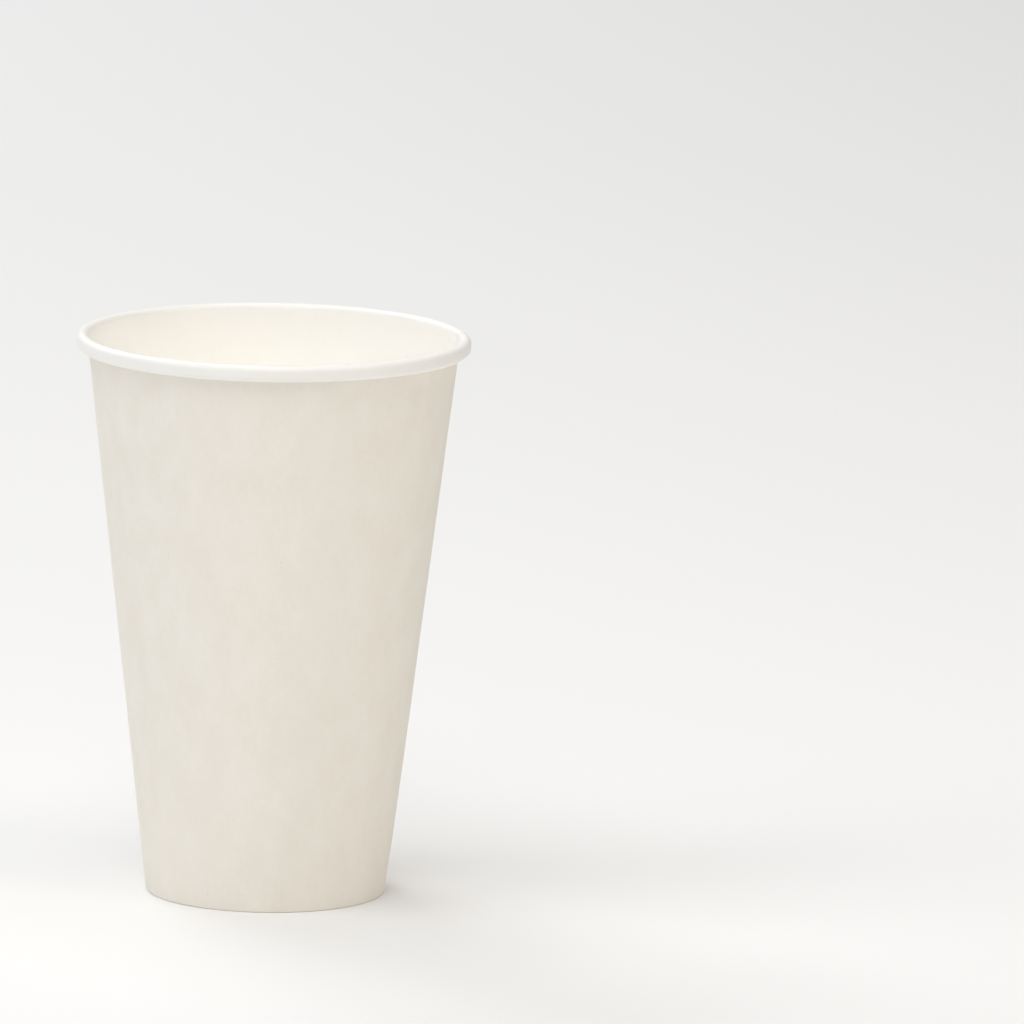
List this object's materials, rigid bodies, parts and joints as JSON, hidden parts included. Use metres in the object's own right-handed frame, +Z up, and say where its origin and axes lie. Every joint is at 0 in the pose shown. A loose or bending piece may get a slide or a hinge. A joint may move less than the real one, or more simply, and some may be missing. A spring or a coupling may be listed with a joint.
{
  "type": "paper cup",
  "caption": "Tall tapered disposable paper cup for hot drinks, with a rolled rim that takes a press-fit lid and a raised bottom held in a folded foot.",
  "frame": {"origin": "centre of the foot ring, on the plane that the cup stands on", "axes": "+Z up along the cup's axis, -Y the front, +X to the right of someone who faces the front"},
  "size_m": [0.09, 0.09, 0.129],
  "materials": {
    "wall_paper": "matte uncoated paperboard outside, thin smooth water-tight coat inside",
    "bottom_paper": "smooth paperboard with a thin water-tight coat on its upper face"
  },
  "bodies": {
    "root": {"cup_wall": "wall_paper", "cup_bottom": "bottom_paper"}
  },
  "joints": []
}
